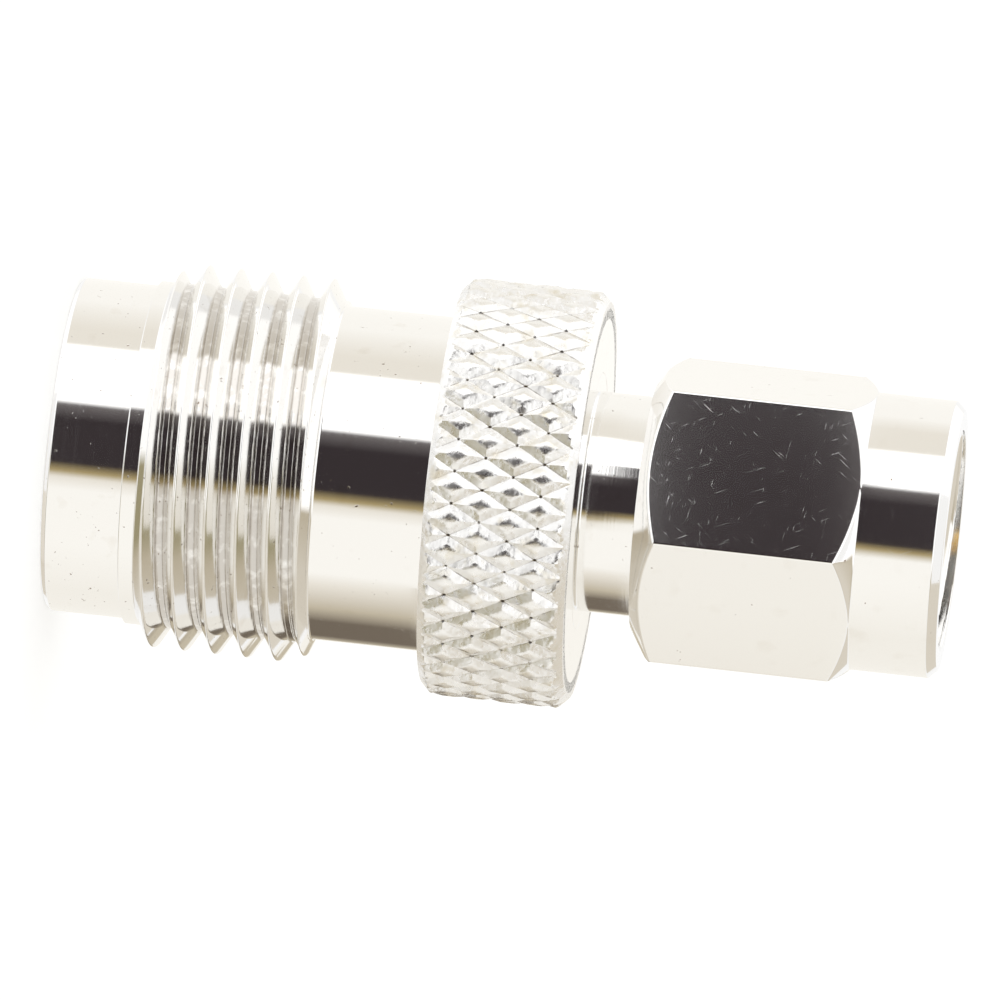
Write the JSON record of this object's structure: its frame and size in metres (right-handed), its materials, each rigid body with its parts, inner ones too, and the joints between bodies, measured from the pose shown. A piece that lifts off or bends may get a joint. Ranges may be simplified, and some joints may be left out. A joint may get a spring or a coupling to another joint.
{
  "type": "tnc to sma adapter",
  "caption": "Coaxial adapter with a threaded TNC jack, a knurled collar and an SMA plug with a loose hexagonal coupling nut.",
  "frame": {"origin": "centre of the front face of the TNC nose, on which the adapter stands", "axes": "+Z along the mating axis from the TNC side to the SMA side; +X and +Y are free, one facet of the nut faces 12.8 degrees from +X"},
  "size_m": [0.012, 0.012, 0.0257],
  "materials": {
    "plated_shell": "nickel plated, turned and polished",
    "plated_nut": "nickel plated, milled flats",
    "ring_bronze": "spring temper phosphor bronze",
    "silicone": "matt moulded silicone",
    "ptfe": "turned PTFE",
    "gold_contact": "gold plated"
  },
  "bodies": {
    "connector": {"tnc_shell": "plated_shell", "sma_shell": "plated_shell", "face_gasket": "silicone", "tnc_insulator": "ptfe", "sma_insulator": "ptfe", "tnc_socket_contact": "gold_contact", "sma_pin_contact": "gold_contact"},
    "ring": {"nut_retaining_ring": "ring_bronze"},
    "nut": {"coupling_nut": "plated_nut"}
  },
  "joints": [
    {"name": "nut_shift", "type": "slide", "parent": "connector", "child": "ring", "axis": [0, 0, 1], "range_m": [0, 0.0003]},
    {"name": "nut_turn", "type": "hinge", "parent": "ring", "child": "nut", "pos_m": [0, 0, 0.01906], "axis": [0, 0, 1], "continuous": true}
  ]
}
